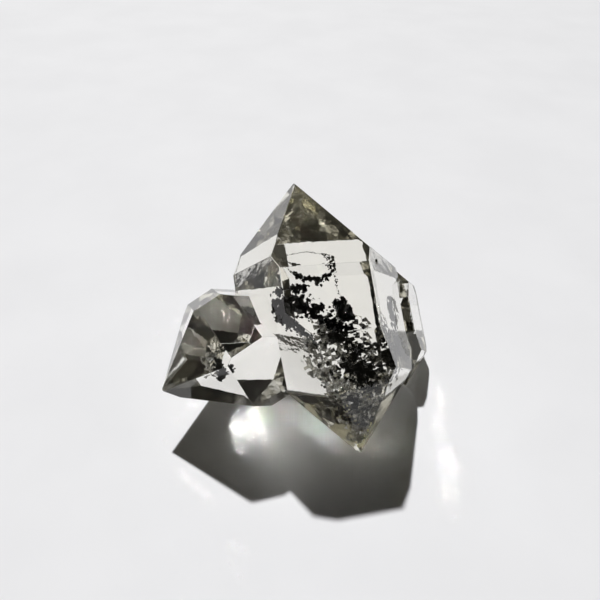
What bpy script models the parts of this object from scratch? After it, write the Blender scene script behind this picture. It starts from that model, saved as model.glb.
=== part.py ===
"""Herkimer diamond cluster: three doubly terminated quartz crystals grown together, with carbon sealed inside.

Metres, +Z up. The cluster lies on a pyramid face of its main crystal. The origin is on that face's plane,
under the middle of the cluster's outline, and the main crystal's free point rises away from -Y.

Every crystal is a six-sided prism with a six-sided pyramid on each end. On quartz the angles between faces
never change, so a crystal is told by the direction of its long axis, a twist about it, and how far each of
its faces lies from its centre. The clear solid is parted on one plane, so that the pockets open onto it.
"""

import math
from dataclasses import dataclass
from itertools import combinations

import bmesh
import bpy
import numpy as np

MM = 0.001

# Between the long axis and the normal of a pyramid face, on every quartz crystal.
PYRAMID_NORMAL = math.radians(51.79)
# The main crystal's long axis climbs at this angle when a pyramid face lies flat.
LYING_RISE = math.pi / 2 - PYRAMID_NORMAL
SIDES = 6

# The parting plane faces the main crystal's upper prism face, this far above its long axis.
PARTING_OVER_MM = 1.70
# Clearance between neighbours: the two clear halves, and a lump of carbon and its pocket.
GAP_MM = 0.20
# The two smaller crystals clear the surface by this much, so that one face alone carries the rest.
CLEAR_OF_SURFACE_MM = 0.03
# Any length that reaches past the whole cluster.
REACH_MM = 60.0


@dataclass(frozen=True)
class Crystal:
    """One doubly terminated crystal, in millimetres and degrees.

    azimuth and rise give the long axis, from the foot to the top. twist turns side 0 about it, from the side
    that looks up. prism holds each side's distance from the long axis, and top and foot hold how far from the
    centre each pyramid face meets that axis.
    """

    name: str
    azimuth: float
    rise: float
    twist: float
    centre: tuple
    prism: tuple
    top: tuple
    foot: tuple


@dataclass(frozen=True)
class Lump:
    """A lump of carbon in the main crystal's own directions: along its axis, across it, and over it."""

    name: str
    centre: tuple
    radii: tuple
    squareness: float
    roughness: float
    seed: int


MAIN = Crystal(
    name="main",
    azimuth=103.4,
    rise=math.degrees(LYING_RISE),
    twist=0.0,
    centre=(1.33, -0.10, 6.91),
    prism=(6.70, 5.34, 6.91, 6.20, 4.88, 6.82),
    top=(11.68, 9.97, 11.42, 10.70, 11.33, 11.85),
    foot=(11.23, 12.14, 12.39, 11.17, 10.08, 9.64),
)
SIDE = Crystal(
    name="side",
    azimuth=32.1,
    rise=19.9,
    twist=25.5,
    centre=(-3.17, -1.72, 6.15),
    prism=(4.79, 3.78, 4.77, 5.48, 3.72, 4.73),
    top=(5.24, 5.06, 5.67, 5.94, 5.64, 4.52),
    foot=(9.47, 8.69, 8.58, 8.45, 8.92, 9.69),
)
TWIN = Crystal(
    name="twin",
    azimuth=103.4,
    rise=math.degrees(LYING_RISE),
    twist=0.0,
    centre=(7.50, 3.03, 3.43),
    prism=(3.23, 2.06, 2.48, 3.23, 3.23, 3.23),
    top=(5.46, 5.46, 5.46, 5.46, 5.46, 5.46),
    foot=(5.54, 5.54, 5.54, 5.54, 5.54, 5.54),
)
CRYSTALS = (MAIN, SIDE, TWIN)

LUMPS = (
    Lump("carbon_band", (1.65, -1.45, 2.75), (0.50, 1.55, 1.40), 0.8, 0.10, 2),
    Lump("carbon_barrel", (-0.20, -2.55, 2.65), (0.95, 1.15, 1.35), 0.8, 0.10, 3),
    Lump("carbon_core", (-3.05, -0.15, 2.10), (0.95, 0.95, 1.10), 1.0, 0.16, 5),
    Lump("carbon_cloud", (-4.90, 2.15, 1.80), (1.45, 1.15, 1.00), 1.0, 0.16, 8),
    Lump("carbon_rim", (-2.85, 3.85, 1.70), (1.75, 0.70, 0.95), 1.0, 0.14, 13),
    Lump("carbon_foot", (-7.30, 0.60, 1.50), (0.62, 0.80, 0.45), 1.0, 0.10, 34),
    Lump("carbon_seed", (-3.20, -8.55, 1.75), (0.80, 1.05, 0.70), 1.0, 0.16, 21),
)
LUMP_RINGS = 7
LUMP_POINTS = 11


def axes_of(crystal):
    """The crystal's long axis, the direction of side 0, and the direction across both, as unit vectors."""
    azimuth = math.radians(crystal.azimuth)
    rise = math.radians(crystal.rise)
    twist = math.radians(crystal.twist)
    flat = np.array([math.cos(azimuth), math.sin(azimuth), 0.0])
    up = np.array([0.0, 0.0, 1.0])
    along = math.cos(rise) * flat + math.sin(rise) * up
    over = math.cos(rise) * up - math.sin(rise) * flat
    aside = np.cross(along, over)
    side_0 = math.cos(twist) * over + math.sin(twist) * aside
    return along, side_0, np.cross(along, side_0)


def planes_of(crystal):
    """Outward normals and distances of the crystal's 18 faces, measured from the origin."""
    along, side_0, across = axes_of(crystal)
    normals = []
    distances = []
    for k in range(SIDES):
        turn = 2 * math.pi * k / SIDES
        side = math.cos(turn) * side_0 + math.sin(turn) * across
        for lean, distance in (
            (0.0, crystal.prism[k]),
            (1.0, crystal.top[k] * math.cos(PYRAMID_NORMAL)),
            (-1.0, crystal.foot[k] * math.cos(PYRAMID_NORMAL)),
        ):
            if lean:
                side_part = math.sin(PYRAMID_NORMAL) * side
                normals.append(lean * math.cos(PYRAMID_NORMAL) * along + side_part)
            else:
                normals.append(side)
            distances.append(distance)
    normals = np.array(normals)
    return normals, np.array(distances) + normals @ np.array(crystal.centre)


def corners_of(normals, distances):
    """The points where three faces meet and that lie behind every other face."""
    triples = np.array(list(combinations(range(len(normals)), 3)))
    facing = normals[triples]
    meets = abs(np.linalg.det(facing)) > 1e-6
    points = np.linalg.solve(facing[meets], distances[triples[meets]][..., None])[..., 0]
    inside = (points @ normals.T <= distances + 1e-6).all(axis=1)
    _, first = np.unique(points[inside].round(4), axis=0, return_index=True)
    return points[inside][first]


def middle_of_outline():
    """What moves the cluster's outline so that the origin is under its middle, in millimetres."""
    points = np.concatenate([corners_of(*planes_of(crystal)) for crystal in CRYSTALS])
    middle = (points.min(axis=0) + points.max(axis=0)) / 2
    return np.array([middle[0], middle[1], 0.0])


def lift_of(crystal):
    """How far the crystal rises to just clear the surface. The main one stands on it."""
    lowest = corners_of(*planes_of(crystal))[:, 2].min()
    clear = 0.0 if crystal is MAIN else CLEAR_OF_SURFACE_MM
    return np.array([0.0, 0.0, clear - lowest])


def from_main(along, across, over):
    """A point told from the main crystal's centre along its own directions, in millimetres."""
    axis, side_0, aside = axes_of(MAIN)
    centre = np.array(MAIN.centre) + lift_of(MAIN) - middle_of_outline()
    return centre + along * axis + across * aside + over * side_0


def hull_object(name, points_mm, material=None):
    """A mesh object of the convex hull of the points, with its flat faces whole."""
    mesh = bpy.data.meshes.new(name)
    shape = bmesh.new()
    for point in points_mm:
        shape.verts.new(point * MM)
    hull = bmesh.ops.convex_hull(shape, input=list(shape.verts))
    loose = [item for item in hull["geom_interior"] if isinstance(item, bmesh.types.BMVert)]
    bmesh.ops.delete(shape, geom=loose, context="VERTS")
    bmesh.ops.dissolve_limit(
        shape, angle_limit=math.radians(0.05), verts=list(shape.verts), edges=list(shape.edges)
    )
    bmesh.ops.recalc_face_normals(shape, faces=list(shape.faces))
    shape.to_mesh(mesh)
    shape.free()
    made = bpy.data.objects.new(name, mesh)
    bpy.context.scene.collection.objects.link(made)
    if material:
        mesh.materials.append(material)
    return made


def as_helper(made):
    """Keeps an object out of the part: it only cuts or joins."""
    made.hide_render = True
    made.display_type = "WIRE"
    return made


def crystal_object(crystal):
    """One crystal as a helper, to be joined with its neighbours."""
    points = corners_of(*planes_of(crystal)) + lift_of(crystal) - middle_of_outline()
    return as_helper(hull_object("crystal_" + crystal.name, points))


def lump_points(lump, extra):
    """Points on a lump: an ellipsoid, squared towards a barrel along its length, with uneven radii."""
    rng = np.random.default_rng(lump.seed)
    rise = np.linspace(-90, 90, LUMP_RINGS) * math.pi / 180
    turn = np.arange(LUMP_POINTS) * 2 * math.pi / LUMP_POINTS
    rise, turn = np.meshgrid(rise, turn, indexing="ij")
    end = np.sign(np.sin(rise)) * abs(np.sin(rise)) ** lump.squareness
    girth = abs(np.cos(rise)) ** lump.squareness
    uneven = 1 + lump.roughness * rng.uniform(-1, 1, rise.shape)
    along, across, over = (radius + extra for radius in lump.radii)
    local = np.stack([along * end, across * girth * np.cos(turn), over * girth * np.sin(turn)], axis=-1)
    local = (local * uneven[..., None]).reshape(-1, 3)
    centre = from_main(*lump.centre)
    axis, side_0, aside = axes_of(MAIN)
    return centre + local @ np.stack([axis, aside, side_0])


def half_space(name, above):
    """A block whose one face is the parting plane, less half the clearance."""
    axis, side_0, aside = axes_of(MAIN)
    near = (1 if above else -1) * GAP_MM / 2
    far = (1 if above else -1) * REACH_MM
    points = [
        from_main(along, across, PARTING_OVER_MM + over)
        for along in (-REACH_MM, REACH_MM)
        for across in (-REACH_MM, REACH_MM)
        for over in (near, far)
    ]
    return as_helper(hull_object(name, points))


def add_boolean(target, operation, tool):
    """A live Boolean on the target."""
    modifier = target.modifiers.new(f"{operation} {tool.name}", "BOOLEAN")
    modifier.operation = operation
    modifier.solver = "EXACT"
    modifier.object = tool


def make_material(name, colour, roughness, transmission=0.0, ior=1.45):
    """A Principled material."""
    material = bpy.data.materials.new(name)
    material.use_nodes = True
    shader = material.node_tree.nodes["Principled BSDF"]
    shader.inputs["Base Color"].default_value = (*colour, 1.0)
    shader.inputs["Roughness"].default_value = roughness
    shader.inputs["Metallic"].default_value = 0.0
    shader.inputs["Transmission Weight"].default_value = transmission
    shader.inputs["IOR"].default_value = ior
    return material


def quartz_half(name, above, crystals, pockets, material):
    """The joined crystals on one side of the parting plane, with the pockets cut out of them."""
    main = next(item for item in crystals if item.name == "crystal_main")
    half = bpy.data.objects.new(name, main.data.copy())
    bpy.context.scene.collection.objects.link(half)
    half.data.materials.append(material)
    for crystal in crystals:
        if crystal is not main:
            add_boolean(half, "UNION", crystal)
    add_boolean(half, "INTERSECT", half_space(name + "_side", above))
    for pocket in pockets:
        add_boolean(half, "DIFFERENCE", pocket)
    return half


def main():
    for old in list(bpy.data.objects):
        bpy.data.objects.remove(old, do_unlink=True)
    quartz = make_material("clear quartz", (0.95, 0.95, 0.92), 0.0, transmission=1.0, ior=1.544)
    carbon = make_material("black carbon", (0.012, 0.012, 0.013), 0.35)
    crystals = [crystal_object(crystal) for crystal in CRYSTALS]
    pockets = []
    for lump in LUMPS:
        hull_object(lump.name, lump_points(lump, 0.0), carbon)
        pockets.append(as_helper(hull_object(lump.name + "_pocket", lump_points(lump, GAP_MM))))
    quartz_half("quartz_upper", True, crystals, pockets, quartz)
    quartz_half("quartz_lower", False, crystals, pockets, quartz)


main()
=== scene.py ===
"""Herkimer diamond cluster: three clear quartz crystals grown together, with carbon and healed cracks inside.

Metres, +Z up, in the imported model's own frame. Lengths of the object are told in millimetres and turned to
metres as they enter a mesh. A place inside the crystal is told in the main crystal's own directions: along
its long axis, across it, and over it, towards the prism face that looks up at the camera.
"""

import logging
import math
from dataclasses import dataclass, replace
from enum import Enum
from itertools import combinations

import bpy
import numpy as np
from mathutils import Matrix, Vector

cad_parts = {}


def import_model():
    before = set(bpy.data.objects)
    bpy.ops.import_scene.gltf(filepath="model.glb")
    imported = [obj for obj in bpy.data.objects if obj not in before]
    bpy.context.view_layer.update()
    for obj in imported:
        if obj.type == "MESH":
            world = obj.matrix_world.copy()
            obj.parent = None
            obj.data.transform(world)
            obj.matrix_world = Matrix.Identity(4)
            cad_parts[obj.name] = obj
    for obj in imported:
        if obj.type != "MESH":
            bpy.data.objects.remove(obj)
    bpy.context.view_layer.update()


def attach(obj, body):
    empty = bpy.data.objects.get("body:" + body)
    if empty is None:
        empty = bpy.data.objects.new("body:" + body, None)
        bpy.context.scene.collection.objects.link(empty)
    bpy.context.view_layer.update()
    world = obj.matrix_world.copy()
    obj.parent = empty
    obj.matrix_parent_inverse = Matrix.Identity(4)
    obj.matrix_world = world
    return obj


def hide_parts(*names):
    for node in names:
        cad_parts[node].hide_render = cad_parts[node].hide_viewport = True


log = logging.getLogger("herkimer cluster")

MM = 0.001
SIDES = 6
PYRAMID_NORMAL = math.radians(51.79)
LYING_RISE = math.pi / 2 - PYRAMID_NORMAL
CLEAR_OF_SURFACE_MM = 0.03
ON_PLANE_MM = 1e-4
BEHIND_MM = 1e-6
NEARLY_PARALLEL = 1e-6


class Slot(Enum):
    """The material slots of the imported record."""

    QUARTZ = "quartz"
    CARBON = "carbon"


class Skin(Enum):
    """What a healed crack looks like; the straw skin is partly a painted glint."""

    SILVER = "silvery crack"
    SMOKY = "smoky crack"
    # Pale yellow crack skin, partly a stained crack and partly a painted glint: its bright colour stands in
    # for highlights.
    STRAW_PAINTED_GLINT = "straw crack with painted glint"


@dataclass(frozen=True)
class Crystal:
    """One doubly terminated quartz crystal, in millimetres and degrees.

    azimuth and rise give the long axis from foot to top, and twist turns side 0 about it. prism holds each
    side's distance from that axis, and top and foot how far from the centre each pyramid face meets it.
    leans lists the faces that grew a little off: the face's number, its turn about its steepest line and
    about the line across it, in degrees, and its move outwards in millimetres.
    """

    name: str
    azimuth: float
    rise: float
    twist: float
    centre: tuple[float, ...]
    prism: tuple[float, ...]
    top: tuple[float, ...]
    foot: tuple[float, ...]
    leans: tuple[tuple[int, tuple[float, ...]], ...] = ()

    def axes(self) -> tuple[np.ndarray, np.ndarray, np.ndarray]:
        """Returns the unit vectors along the crystal, of side 0, and across both."""
        azimuth, rise, twist = (math.radians(a) for a in (self.azimuth, self.rise, self.twist))
        flat = np.array([math.cos(azimuth), math.sin(azimuth), 0.0])
        up = np.array([0.0, 0.0, 1.0])
        along = math.cos(rise) * flat + math.sin(rise) * up
        over = math.cos(rise) * up - math.sin(rise) * flat
        side_0 = math.cos(twist) * over + math.sin(twist) * np.cross(along, over)
        return along, side_0, np.cross(along, side_0)

    def planes(self) -> tuple[np.ndarray, np.ndarray]:
        """Works out the 18 faces.

        A face's normal is cos(p) along plus sin(p) to its side, where p is 90 degrees on the prism and the
        fixed pyramid angle, or its opposite, on the two ends. A leaned face's normal has the tangents of its
        two turns added, across and down the face.

        Returns:
            The unit normals, and each face's distance from the origin.
        """
        along, side_0, across = self.axes()
        turn = np.arange(SIDES) * 2 * math.pi / SIDES
        side = np.cos(turn)[:, None] * side_0 + np.sin(turn)[:, None] * across
        lean = math.cos(PYRAMID_NORMAL)
        reach = math.sin(PYRAMID_NORMAL)
        normals = np.concatenate([side, lean * along + reach * side, -lean * along + reach * side])
        distances = np.concatenate([self.prism, lean * np.array(self.top), lean * np.array(self.foot)])
        for face, (about, tip, out) in self.leans:
            square = normals[face] * (distances[face] + out)
            level = np.cross(normals[face], along)
            level /= np.linalg.norm(level)
            steep = np.cross(normals[face], level)
            turned = normals[face] + math.tan(math.radians(about)) * level
            turned = turned + math.tan(math.radians(tip)) * steep
            normals[face] = turned / np.linalg.norm(turned)
            distances[face] = normals[face] @ square
        return normals, distances + normals @ np.array(self.centre)

    def corners(self) -> np.ndarray:
        """Returns the points where three faces meet behind every other face, one row each."""
        normals, distances = self.planes()
        triples = np.array(list(combinations(range(len(normals)), 3)))
        facing = normals[triples]
        meets = abs(np.linalg.det(facing)) > NEARLY_PARALLEL
        points = np.linalg.solve(facing[meets], distances[triples[meets]][..., None])[..., 0]
        inside = (points @ normals.T <= distances + BEHIND_MM).all(axis=1)
        _, first = np.unique(points[inside].round(4), axis=0, return_index=True)
        return points[inside][first]


MAIN = Crystal(
    name="main",
    azimuth=103.4,
    rise=math.degrees(LYING_RISE),
    twist=0.0,
    centre=(1.33, -0.10, 6.91),
    prism=(6.70, 5.34, 6.91, 6.20, 4.88, 6.82),
    top=(11.68, 9.97, 11.42, 10.70, 11.33, 11.85),
    foot=(11.23, 12.14, 12.39, 11.17, 10.08, 9.64),
    leans=((9, (2.32, -4.40, 0.10)), (6, (-1.06, 3.54, -0.55))),
)
SIDE = Crystal(
    name="side",
    azimuth=32.1,
    rise=19.9,
    twist=25.5,
    centre=(-3.17, -1.72, 6.15),
    prism=(4.79, 3.78, 4.77, 5.48, 3.72, 4.73),
    top=(5.24, 5.06, 5.67, 5.94, 5.64, 4.52),
    foot=(9.47, 8.69, 8.58, 8.45, 8.92, 9.69),
    leans=(
        (2, (1.86, 4.29, 0.16)),
        (3, (-2.65, -0.13, 0.37)),
        (4, (2.62, 2.19, -0.10)),
        (8, (1.09, 1.82, -0.02)),
        (9, (3.89, -5.81, -0.40)),
        (10, (-1.59, -0.50, 0.03)),
        (14, (1.99, 0.81, 0.10)),
        (15, (5.85, 2.75, 0.00)),
        (16, (2.23, -0.43, -0.10)),
    ),
)
TWIN = Crystal(
    name="twin",
    azimuth=103.4,
    rise=math.degrees(LYING_RISE),
    twist=0.0,
    centre=(7.50, 3.03, 3.43),
    prism=(3.23, 2.06, 2.48, 3.23, 3.23, 3.23),
    top=(5.46, 5.46, 5.46, 5.46, 5.46, 5.46),
    foot=(5.54, 5.54, 5.54, 5.54, 5.54, 5.54),
)


@dataclass(frozen=True)
class Growth:
    """The crystals as they stand on the surface, and the frame that the inclusions are told in."""

    crystals: tuple[Crystal, ...] = (MAIN, SIDE, TWIN)

    def shift(self, crystal: Crystal) -> np.ndarray:
        """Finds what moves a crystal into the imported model's frame.

        Args:
            crystal: one of the crystals.

        Returns:
            The move, in millimetres: outline's middle to the origin, lowest corner to the surface.
        """
        points = np.concatenate([replace(item, leans=()).corners() for item in self.crystals])
        middle = (points.min(axis=0) + points.max(axis=0)) / 2
        clear = 0.0 if crystal is MAIN else CLEAR_OF_SURFACE_MM
        lowest = replace(crystal, leans=()).corners()[:, 2].min()
        return np.array([-middle[0], -middle[1], clear - lowest])

    def place(self, local: np.ndarray) -> np.ndarray:
        """Turns places told in the main crystal's directions into the model's frame.

        Args:
            local: rows of along, across and over, in millimetres.

        Returns:
            Rows of x, y and z, in millimetres.
        """
        along, over, across = MAIN.axes()
        centre = np.array(MAIN.centre) + self.shift(MAIN)
        return centre + np.asarray(local, float) @ np.stack([along, across, over])

    def inside(self, points: np.ndarray, margin: np.ndarray) -> np.ndarray:
        """Tells which places lie in one of the crystals, at least a margin under its faces.

        Args:
            points: rows of x, y and z, in millimetres.
            margin: one depth for each, in millimetres.

        Returns:
            One truth value for each.
        """
        held = np.zeros(len(points), bool)
        for crystal in self.crystals:
            normals, distances = crystal.planes()
            under = distances - (points - self.shift(crystal)) @ normals.T
            held |= under.min(axis=1) > margin
        return held


GROWTH = Growth()


def mesh_object(name: str, points: np.ndarray, faces: list) -> bpy.types.Object:
    """Puts a surface into the scene.

    Args:
        name: the object's name.
        points: rows of x, y and z, in millimetres.
        faces: lists of corner numbers, one for each face.

    Returns:
        The new object, at the origin.
    """
    mesh = bpy.data.meshes.new(name)
    mesh.from_pydata((points * MM).tolist(), [], faces)
    mesh.update()
    made = bpy.data.objects.new(name, mesh)
    bpy.context.scene.collection.objects.link(made)
    return made


def hull_faces(points: np.ndarray, normals: np.ndarray, distances: np.ndarray) -> list:
    """Orders the corners of each plane of a convex solid round its middle.

    On a plane, the corners are sorted by their angle about the mean of them, seen from outside.

    Args:
        points: the solid's corners.
        normals: the planes' outward unit normals.
        distances: the planes' distances from the origin.

    Returns:
        One list of corner numbers for each plane that carries a face.
    """
    faces = []
    for normal, distance in zip(normals, distances):
        on = np.flatnonzero(abs(points @ normal - distance) < ON_PLANE_MM)
        if len(on) < 3:
            continue
        spoke = points[on] - points[on].mean(axis=0)
        first = spoke[0] / np.linalg.norm(spoke[0])
        angle = np.arctan2(spoke @ np.cross(normal, first), spoke @ first)
        faces.append(on[np.argsort(angle)].tolist())
    return faces


@dataclass(frozen=True)
class NoiseTone:
    """A colour or value that wanders between two ends with a noise on Object coordinates."""

    scale: float
    detail: float
    low: tuple[float, ...] = (0.0, 0.0, 0.0)
    high: tuple[float, ...] = (1.0, 1.0, 1.0)
    low_until: float = 0.35
    high_from: float = 0.65

    def node(self, tree: bpy.types.NodeTree, coordinates: bpy.types.NodeSocket) -> bpy.types.NodeSocket:
        """Adds the noise and its ramp.

        Args:
            tree: the material's node tree.
            coordinates: the socket that gives Object coordinates.

        Returns:
            The ramp's colour socket.
        """
        noise = tree.nodes.new("ShaderNodeTexNoise")
        noise.inputs["Scale"].default_value = self.scale
        noise.inputs["Detail"].default_value = self.detail
        ramp = tree.nodes.new("ShaderNodeValToRGB")
        ramp.color_ramp.elements[0].position = self.low_until
        ramp.color_ramp.elements[1].position = self.high_from
        ramp.color_ramp.elements[0].color = (*self.low, 1.0)
        ramp.color_ramp.elements[1].color = (*self.high, 1.0)
        tree.links.new(coordinates, noise.inputs["Vector"])
        tree.links.new(noise.outputs["Fac"], ramp.inputs["Fac"])
        return ramp.outputs["Color"]


def new_material(name: str) -> tuple[bpy.types.Material, bpy.types.Node, bpy.types.NodeSocket]:
    """Starts a material.

    Args:
        name: the material's name.

    Returns:
        The material, its Principled shader, and the socket that gives Object coordinates.
    """
    material = bpy.data.materials.new(name)
    material.use_nodes = True
    tree = material.node_tree
    coordinates = tree.nodes.new("ShaderNodeTexCoord").outputs["Object"]
    return material, tree.nodes["Principled BSDF"], coordinates


def add_bump(
    tree: bpy.types.NodeTree,
    shader: bpy.types.Node,
    height: bpy.types.NodeSocket,
    depth_mm: float,
) -> None:
    """Raises the surface by a height map.

    Args:
        tree: the material's node tree.
        shader: the shader that takes the normal.
        height: a socket from 0 to 1.
        depth_mm: how far 1 stands over 0.
    """
    bump = tree.nodes.new("ShaderNodeBump")
    bump.inputs["Strength"].default_value = 1.0
    bump.inputs["Distance"].default_value = depth_mm * MM
    tree.links.new(height, bump.inputs["Height"])
    tree.links.new(bump.outputs["Normal"], shader.inputs["Normal"])


@dataclass(frozen=True)
class QuartzFinish:
    """Water-clear quartz: smooth glassy faces with faint growth relief, and a trace of tint in the depth."""

    index: float = 1.544
    tint: tuple[float, ...] = (0.93, 0.90, 0.78)
    tint_density: float = 42.0
    tone: NoiseTone = NoiseTone(450.0, 3.0, (0.985, 0.985, 0.975))
    relief: NoiseTone = NoiseTone(900.0, 4.0)
    relief_mm: float = 0.004

    def material(self) -> bpy.types.Material:
        """Returns the material."""
        material, shader, coordinates = new_material("water-clear quartz")
        tree = material.node_tree
        tree.links.new(self.tone.node(tree, coordinates), shader.inputs["Base Color"])
        shader.inputs["Roughness"].default_value = 0.0
        shader.inputs["Transmission Weight"].default_value = 1.0
        shader.inputs["IOR"].default_value = self.index
        add_bump(tree, shader, self.relief.node(tree, coordinates), self.relief_mm)
        absorption = tree.nodes.new("ShaderNodeVolumeAbsorption")
        absorption.inputs["Color"].default_value = (*self.tint, 1.0)
        absorption.inputs["Density"].default_value = self.tint_density
        output = tree.nodes["Material Output"]
        tree.links.new(absorption.outputs["Volume"], output.inputs["Volume"])
        return material


@dataclass(frozen=True)
class CarbonFinish:
    """Black carbon with a dull mineral lustre, brighter on broken faces."""

    tone: NoiseTone = NoiseTone(6000.0, 3.0, (0.001, 0.001, 0.001), (0.006, 0.006, 0.006))
    gloss: NoiseTone = NoiseTone(9000.0, 2.0, (0.02, 0.02, 0.02), (0.16, 0.16, 0.16))
    grain: NoiseTone = NoiseTone(16000.0, 2.0)
    grain_mm: float = 0.003
    specular: float = 0.4

    def material(self) -> bpy.types.Material:
        """Returns the material."""
        material, shader, coordinates = new_material("black carbon")
        tree = material.node_tree
        tree.links.new(self.tone.node(tree, coordinates), shader.inputs["Base Color"])
        tree.links.new(self.gloss.node(tree, coordinates), shader.inputs["Roughness"])
        shader.inputs["Specular IOR Level"].default_value = self.specular
        add_bump(tree, shader, self.grain.node(tree, coordinates), self.grain_mm)
        return material


@dataclass(frozen=True)
class CrackFinish:
    """The skin of a healed crack, which mirrors the light like crumpled leaf; the straw skin is instead a
    dull pale colour that paints glints.
    """

    skin: Skin
    dark: tuple[float, ...]
    light: tuple[float, ...]
    metallic: float = 0.85
    gloss: NoiseTone = NoiseTone(7000.0, 2.0, (0.02, 0.02, 0.02), (0.12, 0.12, 0.12))
    grain: NoiseTone = NoiseTone(12000.0, 2.0)
    grain_mm: float = 0.004

    def material(self) -> bpy.types.Material:
        """Returns the material."""
        material, shader, coordinates = new_material(self.skin.value)
        tree = material.node_tree
        tone = NoiseTone(3500.0, 3.0, self.dark, self.light)
        tree.links.new(tone.node(tree, coordinates), shader.inputs["Base Color"])
        shader.inputs["Metallic"].default_value = self.metallic
        tree.links.new(self.gloss.node(tree, coordinates), shader.inputs["Roughness"])
        add_bump(tree, shader, self.grain.node(tree, coordinates), self.grain_mm)
        return material


CRACKS = (
    CrackFinish(Skin.SILVER, (0.55, 0.54, 0.50), (0.96, 0.96, 0.94)),
    CrackFinish(Skin.SMOKY, (0.012, 0.012, 0.010), (0.10, 0.095, 0.075)),
    # The straw skin is partly stain colour and partly a painted glint: nearly diffuse, so its pale colour
    # reads as highlights.
    CrackFinish(Skin.STRAW_PAINTED_GLINT, (0.80, 0.74, 0.42), (0.97, 0.96, 0.84), metallic=0.15),
)


@dataclass(frozen=True)
class Hillock:
    """A three-sided growth hillock on one side of the main crystal's prism, in millimetres.

    along and aside place it from the crystal's centre, sunk is how far its foot lies inside, and drawn_in is
    the top's radius as a share of the foot's.
    """

    along: float = 2.25
    aside: float = -2.50
    side: int = 1
    radius: float = 0.40
    height: float = 0.10
    sunk: float = 0.08
    corners: int = 3
    drawn_in: float = 0.5

    def build(self) -> bpy.types.Object:
        """Builds the hillock.

        Three corners sunk a little into the side stand on a circle, and three above it on a smaller one.

        Returns:
            A helper object.
        """
        along, _, _ = MAIN.axes()
        normals, distances = MAIN.planes()
        out = normals[self.side]
        level = np.cross(along, out)
        seat = np.array(MAIN.centre) + self.along * along + self.aside * level
        seat += (distances[self.side] - seat @ out) * out
        turn = math.pi / 2 + np.arange(self.corners) * 2 * math.pi / self.corners
        ring = self.radius * (np.cos(turn)[:, None] * level + np.sin(turn)[:, None] * along)
        low = seat + ring - self.sunk * out
        high = seat + self.drawn_in * ring + self.height * out
        faces = [[2, 1, 0], [3, 4, 5], [0, 1, 4, 3], [1, 2, 5, 4], [2, 0, 3, 5]]
        return mesh_object("hillock", np.concatenate([low, high]) + GROWTH.shift(MAIN), faces)


@dataclass(frozen=True)
class QuartzCluster:
    """The three crystals as one clear body, each with its edges just broken."""

    name: str = "quartz_cluster"
    edge_mm: float = 0.045
    replaced: tuple[str, ...] = ("quartz_upper", "quartz_lower")

    def crystal(self, crystal: Crystal) -> bpy.types.Object:
        """Builds one crystal.

        Its corners are the points where three of its 18 planes meet, and its edges carry a narrow flat.

        Args:
            crystal: the crystal.

        Returns:
            A helper object with a live bevel.
        """
        normals, distances = crystal.planes()
        points = crystal.corners()
        faces = hull_faces(points, normals, distances)
        made = mesh_object("crystal_" + crystal.name, points + GROWTH.shift(crystal), faces)
        bevel = made.modifiers.new("broken edges", "BEVEL")
        bevel.width = self.edge_mm * MM
        bevel.segments = 2
        bevel.limit_method = "NONE"
        return made

    def build(self, finish: QuartzFinish) -> bpy.types.Object:
        """Joins the crystals, and dresses the body.

        Args:
            finish: the quartz.

        Returns:
            The finished piece.
        """
        helpers = [self.crystal(crystal) for crystal in GROWTH.crystals] + [Hillock().build()]
        body = helpers[0]
        for helper in helpers[1:]:
            joint = body.modifiers.new("grown with " + helper.name, "BOOLEAN")
            joint.operation = "UNION"
            joint.solver = "EXACT"
            joint.object = helper
        graph = bpy.context.evaluated_depsgraph_get()
        mesh = bpy.data.meshes.new_from_object(body.evaluated_get(graph))
        mesh.name = self.name
        piece = bpy.data.objects.new(self.name, mesh)
        bpy.context.scene.collection.objects.link(piece)
        for helper in helpers:
            bpy.data.objects.remove(helper, do_unlink=True)
        mesh.materials.clear()
        mesh.materials.append(finish.material())
        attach(piece, "root")
        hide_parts(*self.replaced)
        log.info("%s: %d faces", piece.name, len(mesh.polygons))
        return piece


@dataclass(frozen=True)
class Spray:
    """Fragments strewn along a line through points of along, across and over, in millimetres.

    spread is the scatter about the line in those three directions, size the range of a fragment's radius, and
    thin its thickness as a share of that radius.
    """

    path: tuple[tuple[float, ...], ...]
    spread: tuple[float, ...]
    count: int
    size: tuple[float, ...] = (0.08, 0.24)
    thin: float = 0.55
    cut_off: float = 2.0

    def centres(self, rng: np.random.Generator) -> np.ndarray:
        """Scatters the fragments.

        A fragment's place is a point at a random share of the line's length, plus a bell-shaped scatter that
        is cut off at cut_off times its width.

        Args:
            rng: the random numbers.

        Returns:
            Rows of along, across and over.
        """
        path = np.array(self.path, float)
        length = np.concatenate([[0.0], np.cumsum(np.linalg.norm(np.diff(path, axis=0), axis=1))])
        share = rng.uniform(0.0, length[-1], self.count)
        base = np.stack([np.interp(share, length, path[:, k]) for k in range(3)], axis=1)
        scatter = np.clip(rng.normal(0.0, 1.0, (self.count, 3)), -self.cut_off, self.cut_off)
        return base + scatter * np.array(self.spread)


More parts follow.
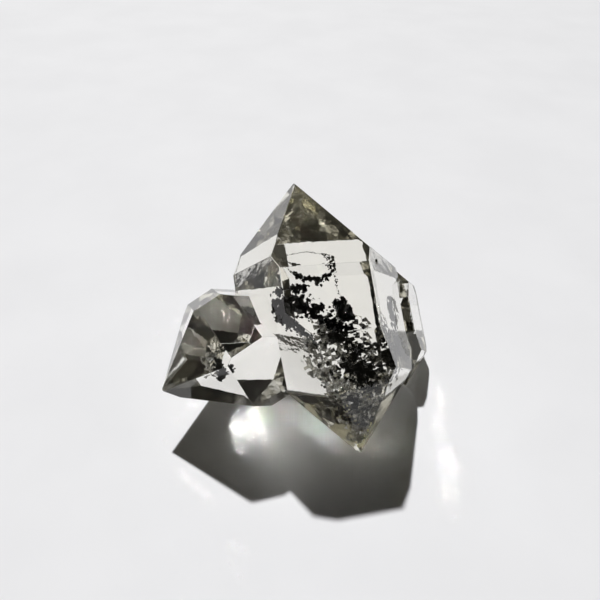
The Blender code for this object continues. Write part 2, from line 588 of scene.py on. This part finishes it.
@dataclass(frozen=True)
class Fragment:
    """The form that all the fragments share: a short uneven prism.

    ring is its number of sides, and angle_off how far a corner strays round it, in radians. radius is a
    corner's distance as a share of the fragment's radius, drawn the upper ring's share of the lower one, and
    height half the fragment's height as a share of its thickness.
    """

    ring: int = 5
    angle_off: float = 0.35
    radius: tuple[float, ...] = (0.55, 1.25)
    drawn: tuple[float, ...] = (0.45, 0.95)
    height: tuple[float, ...] = (0.6, 1.3)

    def local(self, thin: np.ndarray, rng: np.random.Generator) -> np.ndarray:
        """Makes the corners about each fragment's own middle.

        Corner k of the lower ring lies at an uneven radius and near an angle of 72 k degrees. The upper ring
        is drawn in towards the middle.

        Args:
            thin: each fragment's thickness as a share of its radius.
            rng: the random numbers.

        Returns:
            For each fragment, rows of x, y and z for a radius of 1.
        """
        shape = (len(thin), self.ring)
        step = np.arange(self.ring) * 2 * math.pi / self.ring
        angle = step + rng.uniform(-self.angle_off, self.angle_off, shape)
        radius = rng.uniform(*self.radius, shape)
        drawn = rng.uniform(*self.drawn, (len(thin), 1))
        height = thin[:, None] * rng.uniform(*self.height, (len(thin), 1)) * np.ones((1, self.ring))
        low = np.stack([radius * np.cos(angle), radius * np.sin(angle), -height], axis=-1)
        high = low * np.stack([drawn, drawn, -np.ones_like(drawn)], axis=-1)
        return np.concatenate([low, high], axis=1)

    def faces(self, count: int) -> list:
        """Returns the sides and caps of this many fragments, as lists of corner numbers."""
        k = np.arange(self.ring)
        after = (k + 1) % self.ring
        start = np.arange(count)[:, None, None] * 2 * self.ring
        sides = np.stack([k, after, after + self.ring, k + self.ring], axis=-1)[None] + start
        caps = np.stack([k[::-1], k + self.ring])[None] + start
        return sides.reshape(-1, 4).tolist() + caps.reshape(-1, self.ring).tolist()

    def strew(
        self, centres: np.ndarray, sizes: np.ndarray, thin: np.ndarray, rng: np.random.Generator
    ) -> tuple[np.ndarray, list]:
        """Makes one fragment at each centre, each turned at random.

        Args:
            centres: rows of places, in millimetres.
            sizes: one radius for each.
            thin: each fragment's thickness as a share of its radius.
            rng: the random numbers.

        Returns:
            The points of all the fragments, and their faces.
        """
        local = self.local(thin, rng) * sizes[:, None, None]
        turned, _ = np.linalg.qr(rng.normal(size=(len(centres), 3, 3)))
        turned *= np.linalg.det(turned)[:, None, None]
        points = np.einsum("nij,nkj->nki", turned, local) + centres[:, None, :]
        return points.reshape(-1, 3), self.faces(len(centres))


@dataclass(frozen=True)
class CarbonCluster:
    """A cloud of black carbon fragments, where the model has one plain lump.

    A fragment is left out where it isn't at least under, plus under_share of its radius, below the faces.
    """

    name: str
    node: str
    seed: int
    sprays: tuple[Spray, ...]
    under: float = 0.08
    under_share: float = 1.3

    def build(self, material: bpy.types.Material) -> bpy.types.Object:
        """Builds the fragments, and dresses them.

        Args:
            material: the carbon.

        Returns:
            The finished piece.
        """
        rng = np.random.default_rng(self.seed)
        centres = np.concatenate([spray.centres(rng) for spray in self.sprays])
        sizes = np.concatenate([rng.uniform(*spray.size, spray.count) for spray in self.sprays])
        thin = np.concatenate([np.full(spray.count, spray.thin) for spray in self.sprays])
        places = GROWTH.place(centres)
        deep = GROWTH.inside(places, self.under + self.under_share * sizes)
        points, faces = Fragment().strew(places[deep], sizes[deep], thin[deep], rng)
        piece = mesh_object(self.name, points, faces)
        piece.data.materials.append(material)
        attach(piece, "root")
        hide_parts(self.node)
        log.info("%s: %d fragments", piece.name, int(deep.sum()))
        return piece


@dataclass(frozen=True)
class CrackVeil:
    """A crumpled sheet of healed crack inside the crystal; some sheets serve as painted shade or painted
    glint.

    centre, reach_a and reach_b are told along, across and over: the sheet runs from centre by up to one
    reach either way. cell is the size of a facet, crumple its random lift as a share of that, wave the slow
    lift, kept how readily a facet stays, from 0 to 1, and under how deep they lie at least. fewest is the
    least number of points each way, pull the range of the waves' turn over one reach, in radians, and jitter
    how far a point strays along the sheet as a share of cell. chance is how much of what stays is chance and
    not waves, rim_at where the sheet ends, in reaches, and rim_cut how far inside that its edge frays.
    """

    name: str
    skin: Skin
    seed: int
    centre: tuple[float, ...]
    reach_a: tuple[float, ...]
    reach_b: tuple[float, ...]
    cell: float = 0.36
    crumple: float = 0.80
    wave: float = 0.50
    kept: float = 0.50
    under: float = 0.12
    fewest: int = 8
    wave_count: int = 6
    pull: tuple[float, ...] = (2.0, 7.0)
    jitter: float = 0.35
    chance: float = 0.6
    rim_at: float = 1.15
    rim_cut: tuple[float, ...] = (0.05, 0.20)
    thickness: float = 0.012

    def build(self, material: bpy.types.Material) -> bpy.types.Object:
        """Builds the sheet.

        Over the grid of u and v, a point is the centre plus u of one reach and v of the other, plus slow
        waves and a random lift along the normal, and a small stray in the sheet. A cell is kept where chance
        and the waves together are over a threshold, inside the frayed rim, and well under the faces.

        Args:
            material: the crack's skin.

        Returns:
            The finished piece.
        """
        rng = np.random.default_rng(self.seed)
        a, b = np.array(self.reach_a), np.array(self.reach_b)
        far_a, far_b = np.linalg.norm(a), np.linalg.norm(b)
        steps_a = max(self.fewest, round(2 * far_a / self.cell))
        steps_b = max(self.fewest, round(2 * far_b / self.cell))
        u, v = np.meshgrid(np.linspace(-1, 1, steps_a), np.linspace(-1, 1, steps_b), indexing="ij")
        normal = np.cross(a, b)
        normal /= np.linalg.norm(normal)
        pull = rng.uniform(*self.pull, (self.wave_count, 2))
        phase = rng.uniform(0, 2 * math.pi, self.wave_count)
        waves = np.sin(u[..., None] * pull[:, 0] + v[..., None] * pull[:, 1] + phase).mean(axis=-1)
        lift = self.wave * waves + self.crumple * self.cell * rng.uniform(-1, 1, u.shape)
        jitter = self.cell * self.jitter * rng.uniform(-1, 1, (*u.shape, 2))
        local = np.array(self.centre) + u[..., None] * a + v[..., None] * b
        local += lift[..., None] * normal
        local += jitter[..., :1] * a / far_a + jitter[..., 1:] * b / far_b
        rows, columns = np.meshgrid(np.arange(steps_a - 1), np.arange(steps_b - 1), indexing="ij")
        corner = rows * steps_b + columns
        quads = np.stack([corner, corner + steps_b, corner + steps_b + 1, corner + 1], axis=-1)
        rim = np.clip(self.rim_at - np.hypot(u, v), 0, 1)[:-1, :-1]
        patchy = rng.uniform(0, 1, rim.shape) * self.chance + (1 - self.chance) * (waves[:-1, :-1] + 0.5)
        keep = (patchy > 1 - self.kept) & (rim > rng.uniform(*self.rim_cut, rim.shape))
        points = GROWTH.place(local.reshape(-1, 3))
        deep = GROWTH.inside(points, np.full(len(points), self.under))
        keep &= deep[quads].all(axis=-1)
        used, corners = np.unique(quads[keep], return_inverse=True)
        piece = mesh_object(self.name, points[used], corners.reshape(-1, 4).tolist())
        solid = piece.modifiers.new("skin", "SOLIDIFY")
        solid.thickness = self.thickness * MM
        solid.offset = 0.0
        piece.data.materials.append(material)
        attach(piece, "root")
        log.info("%s: %d facets", piece.name, int(keep.sum()))
        return piece


CARBON = (
    CarbonCluster(
        name="carbon_band_flakes",
        node="carbon_band",
        seed=2,
        sprays=(
            Spray(
                ((2.89, -3.34, 3.9), (3.11, -1.58, 3.9), (2.49, 0.07, 3.9)),
                (0.03, 0.03, 0.03), 110, (0.02, 0.05),
            ),
            Spray(
                ((2.75, -3.4, 4.0), (2.28, -3.04, 4.0), (1.7, -2.41, 4.0)),
                (0.04, 0.04, 0.05), 50, (0.02, 0.06),
            ),
            Spray(((1.95, -2.80, 4.0), (1.62, -1.95, 4.0)), (0.10, 0.10, 0.12), 20, (0.10, 0.20)),
            Spray(((1.66, -1.80, 4.0), (1.23, -1.02, 4.0)), (0.12, 0.10, 0.15), 22, (0.10, 0.22)),
            Spray(
                ((1.23, -1.02, 4.0), (1.60, -0.38, 4.0), (2.14, 0.0, 4.0)),
                (0.16, 0.14, 0.15), 34, (0.06, 0.17),
            ),
            Spray(
                ((2.7, -0.5, 3.9), (2.45, -0.1, 3.9), (2.0, 0.15, 3.9)),
                (0.12, 0.10, 0.12), 40, (0.03, 0.09),
            ),
        ),
    ),
    CarbonCluster(
        name="carbon_barrel_flakes",
        node="carbon_barrel",
        seed=3,
        sprays=(
            Spray(
                ((0.95, -3.15, 4.0), (1.00, -2.69, 4.0), (1.04, -2.05, 4.0)),
                (0.14, 0.16, 0.12), 34, (0.10, 0.24),
            ),
            Spray(
                ((0.50, -3.40, 3.8), (-0.01, -3.51, 3.8), (-0.53, -3.37, 3.8)),
                (0.12, 0.10, 0.15), 26, (0.09, 0.22),
            ),
            Spray(((0.25, -3.0, 3.8), (-0.20, -2.5, 3.8)), (0.30, 0.30, 0.15), 40, (0.12, 0.28)),
            Spray(((-0.47, -2.10, 3.7), (-0.98, -1.31, 3.6)), (0.28, 0.26, 0.15), 44, (0.12, 0.28)),
            Spray(((0.0, -2.6, 3.7), (-0.8, -1.8, 3.6)), (0.5, 0.5, 0.2), 60, (0.04, 0.13)),
            Spray(
                ((2.30, 0.20, 3.8), (0.55, 0.13, 3.8), (-0.21, 0.37, 3.8)),
                (0.07, 0.06, 0.1), 50, (0.02, 0.07),
            ),
        ),
    ),
    CarbonCluster(
        name="carbon_core_flakes",
        node="carbon_core",
        seed=5,
        sprays=(
            Spray(
                ((-1.54, -1.23, 3.3), (-1.96, -0.72, 3.3), (-2.19, -0.03, 3.3)),
                (0.28, 0.30, 0.2), 60, (0.12, 0.30),
            ),
            Spray(
                ((-0.43, 0.25, 3.4), (-0.90, 0.53, 3.4), (-1.34, 0.53, 3.4)),
                (0.22, 0.22, 0.2), 80, (0.14, 0.30),
            ),
            Spray(((-0.9, -0.6, 3.4), (-1.4, 0.1, 3.4)), (0.35, 0.5, 0.2), 30, (0.05, 0.16)),
        ),
    ),
    CarbonCluster(
        name="carbon_cloud_flakes",
        node="carbon_cloud",
        seed=8,
        sprays=(
            Spray(
                ((-2.10, 0.38, 3.0), (-2.93, 1.03, 3.0), (-2.73, 1.94, 3.0)),
                (0.35, 0.4, 0.3), 46, (0.10, 0.26),
            ),
            Spray(((-2.73, 1.94, 2.8), (-2.77, 2.83, 2.8)), (0.25, 0.3, 0.3), 26, (0.08, 0.20)),
            Spray(((-3.56, 0.71, 2.8), (-4.21, 0.13, 2.8)), (0.40, 0.38, 0.3), 60, (0.10, 0.28)),
            Spray(
                ((-4.49, 1.07, 2.7), (-5.14, 1.46, 2.7), (-4.97, 2.00, 2.7)),
                (0.50, 0.50, 0.3), 110, (0.14, 0.34),
            ),
            Spray(((-6.29, 1.52, 2.2), (-5.91, 2.30, 2.2)), (0.30, 0.35, 0.2), 30, (0.10, 0.24)),
            Spray(((-4.43, -0.77, 2.6), (-4.99, -0.73, 2.6)), (0.30, 0.22, 0.3), 24, (0.09, 0.24)),
            Spray(((-3.0, 0.5, 2.8), (-5.5, 1.5, 2.4)), (0.9, 1.2, 0.4), 90, (0.05, 0.16)),
        ),
    ),
    CarbonCluster(
        name="carbon_rim_flakes",
        node="carbon_rim",
        seed=13,
        sprays=(
            Spray(
                ((-1.07, 3.3, 1.9), (-0.75, 3.9, 1.9), (-0.3, 4.4, 1.8)),
                (0.28, 0.30, 0.25), 50, (0.10, 0.26),
            ),
            Spray(
                ((-2.0, 3.3, 1.7), (-2.1, 4.1, 1.7), (-2.2, 4.6, 1.6)),
                (0.30, 0.24, 0.25), 46, (0.08, 0.22),
            ),
            Spray(
                ((-3.3, 3.4, 1.6), (-3.7, 4.2, 1.6), (-3.6, 4.6, 1.5)),
                (0.36, 0.24, 0.25), 100, (0.14, 0.32),
            ),
        ),
    ),
    CarbonCluster(
        name="carbon_foot_flakes",
        node="carbon_foot",
        seed=34,
        sprays=(
            Spray(((-6.6, -0.3, 1.8), (-6.9, 1.4, 1.8)), (0.3, 0.3, 0.2), 60, (0.07, 0.24)),
            Spray(((-7.4, -0.1, 1.6), (-8.0, 1.2, 1.5)), (0.4, 0.3, 0.2), 70, (0.07, 0.22)),
        ),
    ),
    CarbonCluster(
        name="carbon_seed_flakes",
        node="carbon_seed",
        seed=21,
        sprays=(
            Spray(
                ((-2.91, -8.19, 2.0), (-3.41, -8.13, 2.0), (-3.98, -8.51, 2.0)),
                (0.16, 0.16, 0.2), 70, (0.09, 0.24),
            ),
        ),
    ),
)

VEILS = (
    CrackVeil(
        "crack_veil_core", Skin.SILVER, 31, (-2.6, 0.2, 3.0), (1.5, -0.9, 0.2), (0.3, 2.4, -0.7),
        cell=0.28,
    ),
    CrackVeil(
        "crack_veil_left", Skin.SILVER, 32, (-4.3, -1.5, 3.0), (2.3, 0.0, 0.1), (0.3, 0.9, 0.3),
        cell=0.24, crumple=0.7, wave=0.3,
    ),
    CrackVeil(
        "crack_veil_mid", Skin.SILVER, 41, (-4.6, 1.0, 3.1), (1.8, -0.3, -0.2), (0.3, 1.9, -0.3),
        cell=0.22, crumple=1.0, wave=0.4, kept=0.32,
    ),
    CrackVeil(
        "crack_veil_shadow", Skin.SMOKY, 36, (-4.8, 1.3, 2.2), (1.7, 0.4, 0.3), (-0.4, 1.6, -0.5),
        cell=0.34, crumple=0.8, wave=0.5, kept=0.4,
    ),
    CrackVeil(
        "crack_veil_foot", Skin.SILVER, 33, (-6.9, 0.7, 2.2), (1.7, 0.0, 0.4), (0.0, 2.2, 0.1),
        cell=0.24, crumple=1.0, wave=0.5, kept=0.55,
    ),
    CrackVeil(
        "crack_veil_ankle", Skin.SMOKY, 37, (-7.8, 0.5, 1.6), (1.9, 0.2, 0.5), (0.2, 1.9, 0.2),
        cell=0.30, crumple=0.9, wave=0.5, kept=0.5,
    ),
    CrackVeil(
        "crack_veil_front", Skin.SILVER, 46, (-7.5, 0.6, 2.3), (2.2, 0.0, 1.7), (0.0, 1.6, 0.0),
        cell=0.18, crumple=1.3, wave=0.2, kept=0.34,
    ),
    # Painted glints: sparse small pale straw facets over the foot whose bright colour stands in for yellow
    # sparkles.
    CrackVeil(
        "crack_veil_painted_sparks", Skin.STRAW_PAINTED_GLINT, 47, (-7.4, 0.5, 2.2), (2.4, 0.0, 1.7), (0.0, 1.7, 0.0),
        cell=0.14, crumple=1.3, wave=0.2, kept=0.10,
    ),
    CrackVeil(
        "crack_veil_low", Skin.SILVER, 39, (-8.9, 0.8, 1.0), (1.3, 0.0, 0.4), (0.0, 1.4, 0.2),
        cell=0.22, crumple=1.0, wave=0.4, kept=0.65,
    ),
    CrackVeil(
        "crack_veil_tip", Skin.SILVER, 34, (-10.0, 1.1, 0.2), (1.0, 0.0, 0.0), (0.0, 0.8, 0.4),
        cell=0.20, crumple=1.0, wave=0.3, kept=0.7,
    ),
    # Painted glint: a pale straw sheet near the foot's right tip whose bright colour stands in for a
    # highlight there.
    CrackVeil(
        "crack_veil_painted_glint", Skin.STRAW_PAINTED_GLINT, 40, (-9.5, 1.5, 0.1), (0.9, 0.3, 0.0), (0.2, 0.4, 0.4),
        cell=0.24, crumple=0.4, wave=0.1, kept=0.9, under=0.08,
    ),
    CrackVeil(
        "crack_veil_hem", Skin.SMOKY, 44, (-8.5, -0.1, 0.9), (1.4, 0.3, 0.0), (0.1, 0.6, 0.5),
        cell=0.26, crumple=0.9, wave=0.3, kept=0.7,
    ),
    # Straw facets along the lower left of the foot, partly stained crack and partly painted glint.
    CrackVeil(
        "crack_veil_fringe", Skin.STRAW_PAINTED_GLINT, 45, (-8.3, -0.2, 1.2), (1.5, 0.3, 0.0), (0.1, 0.6, 0.4),
        cell=0.22, crumple=1.0, wave=0.3, kept=0.3,
    ),
    CrackVeil(
        "crack_veil_right", Skin.SILVER, 35, (-4.8, 3.1, 1.7), (1.4, 0.0, 0.2), (0.2, 0.9, -0.6),
        cell=0.22,
    ),
    # Painted shade: two dark smoky sheets laid parallel to the right prism face, about a millimetre under it,
    # to darken that face.
    CrackVeil(
        "crack_veil_painted_shade_upper", Skin.SMOKY, 42, (-0.9, 4.2, 1.2), (1.1, 0.1, 0.2), (0.1, 1.0, -1.3),
        cell=0.26, crumple=0.9, wave=0.4, kept=0.7,
    ),
    CrackVeil(
        "crack_veil_painted_shade_lower", Skin.SMOKY, 43, (-3.8, 4.3, 1.0), (0.9, 0.0, 0.2), (0.1, 1.0, -1.3),
        cell=0.28, crumple=0.8, wave=0.4, kept=0.8,
    ),
    CrackVeil(
        "crack_veil_seed", Skin.SILVER, 38, (-3.2, -9.3, 2.2), (0.8, 0.2, 0.3), (0.2, 0.9, -0.3),
        cell=0.20,
    ),
)


@dataclass(frozen=True)
class Studio:
    """A plain pale floor, one small soft sun from behind on the left, and the camera.

    turn holds the camera's right, up and backward as columns. room gives the surroundings' colour from level
    to overhead, and the wall fades out at wall_angle degrees from wall_towards. Places, nearest and the
    floor's ends are in millimetres.
    """

    eye: tuple[float, ...] = (-0.5169, -37.8994, 39.14)
    turn: tuple[tuple[float, ...], ...] = (
        (0.9994, -0.0349, 0.0),
        (0.0222, 0.6341, -0.7729),
        (0.027, 0.7724, 0.6345),
    )
    lens: float = 38.4
    sensor: float = 36.0
    nearest: float = 1.0
    sun_travel: tuple[float, ...] = (0.1646, -0.5514, -0.8178)
    sun_energy: float = 3.75
    sun_angle: float = 2.2
    wall_towards: tuple[float, ...] = (0.0, 0.906, 0.423)
    wall_angle: float = 32.0
    wall: tuple[float, ...] = (0.26, 0.245, 0.18)
    room: tuple[tuple[float, tuple[float, ...]], ...] = (
        (0.0, (0.034, 0.032, 0.024)),
        (0.35, (0.017, 0.016, 0.013)),
        (0.62, (0.005, 0.005, 0.005)),
        (1.0, (0.003, 0.003, 0.003)),
    )
    floor_half: float = 400.0
    floor_front: float = -20.4
    floor_under: float = 0.02
    paper: NoiseTone = NoiseTone(90.0, 3.0, (0.795, 0.795, 0.81), (0.82, 0.82, 0.835))
    paper_roughness: float = 0.7
    paper_specular: float = 0.2
    bounces: int = 24
    glossy_bounces: int = 12
    softening: float = 0.20

    def camera(self) -> None:
        """Sets the camera at the photograph's place."""
        data = bpy.data.cameras.new("camera")
        camera = bpy.data.objects.new("camera", data)
        bpy.context.scene.collection.objects.link(camera)
        camera.matrix_world = Matrix.Translation(Vector(self.eye) * MM) @ Matrix(self.turn).to_4x4()
        data.lens = self.lens
        data.sensor_width = self.sensor
        data.clip_start = self.nearest * MM
        bpy.context.scene.camera = camera

    def floor(self) -> None:
        """Lays a pale card that ends just in front of the picture's lower edge."""
        s, front, z = self.floor_half, self.floor_front, -self.floor_under
        points = np.array([(-s, front, z), (s, front, z), (s, s, z), (-s, s, z)])
        floor = mesh_object("floor", points, [[0, 1, 2, 3]])
        material, shader, coordinates = new_material("pale paper")
        tree = material.node_tree
        tree.links.new(self.paper.node(tree, coordinates), shader.inputs["Base Color"])
        shader.inputs["Roughness"].default_value = self.paper_roughness
        shader.inputs["Specular IOR Level"].default_value = self.paper_specular
        floor.data.materials.append(material)

    def light(self) -> None:
        """Hangs the sun and the dim surroundings."""
        data = bpy.data.lights.new("sun", "SUN")
        data.energy = self.sun_energy
        data.angle = math.radians(self.sun_angle)
        sun = bpy.data.objects.new("sun", data)
        bpy.context.scene.collection.objects.link(sun)
        sun.rotation_euler = Vector(self.sun_travel).to_track_quat("-Z", "Y").to_euler()
        self.surroundings()

    def surroundings(self) -> None:
        """Paints the dim room: darkest overhead, with a soft olive wall behind the cluster."""
        world = bpy.data.worlds.new("dim room")
        bpy.context.scene.world = world
        world.use_nodes = True
        tree = world.node_tree
        direction = tree.nodes.new("ShaderNodeTexCoord").outputs["Generated"]
        split = tree.nodes.new("ShaderNodeSeparateXYZ")
        tree.links.new(direction, split.inputs["Vector"])
        height = tree.nodes.new("ShaderNodeValToRGB")
        stops = height.color_ramp.elements
        stops[0].position, stops[1].position = self.room[0][0], self.room[-1][0]
        for place, _ in self.room[1:-1]:
            stops.new(place)
        for stop, (_, colour) in zip(stops, self.room):
            stop.color = (*colour, 1.0)
        tree.links.new(split.outputs["Z"], height.inputs["Fac"])
        towards = tree.nodes.new("ShaderNodeVectorMath")
        towards.operation = "DOT_PRODUCT"
        towards.inputs[1].default_value = self.wall_towards
        tree.links.new(direction, towards.inputs[0])
        glow = tree.nodes.new("ShaderNodeMapRange")
        glow.interpolation_type = "SMOOTHSTEP"
        glow.inputs["From Min"].default_value = math.cos(math.radians(self.wall_angle))
        glow.inputs["From Max"].default_value = 1.0
        tree.links.new(towards.outputs["Value"], glow.inputs["Value"])
        total = tree.nodes.new("ShaderNodeMixRGB")
        total.inputs["Color2"].default_value = (*self.wall, 1.0)
        tree.links.new(glow.outputs["Result"], total.inputs["Fac"])
        tree.links.new(height.outputs["Color"], total.inputs["Color1"])
        tree.links.new(total.outputs["Color"], tree.nodes["Background"].inputs["Color"])

    def build(self) -> None:
        """Sets up all of it, with enough bounces for light to pass through the cluster."""
        self.camera()
        self.floor()
        self.light()
        scene = bpy.context.scene
        scene.view_settings.view_transform = "Standard"
        scene.cycles.max_bounces = self.bounces
        scene.cycles.transmission_bounces = self.bounces
        scene.cycles.transparent_max_bounces = self.bounces
        scene.cycles.glossy_bounces = self.glossy_bounces
        scene.cycles.blur_glossy = self.softening
        scene.cycles.sample_clamp_indirect = 0.0
        log.info("studio set")


def main() -> None:
    """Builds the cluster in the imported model's frame."""
    logging.basicConfig(level=logging.INFO, format="%(name)s: %(message)s")
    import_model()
    Studio().build()
    QuartzCluster().build(QuartzFinish())
    carbon = CarbonFinish().material()
    for cluster in CARBON:
        cluster.build(carbon)
    cracks = {finish.skin: finish.material() for finish in CRACKS}
    for veil in VEILS:
        veil.build(cracks[veil.skin])


if __name__ == "__main__":
    main()
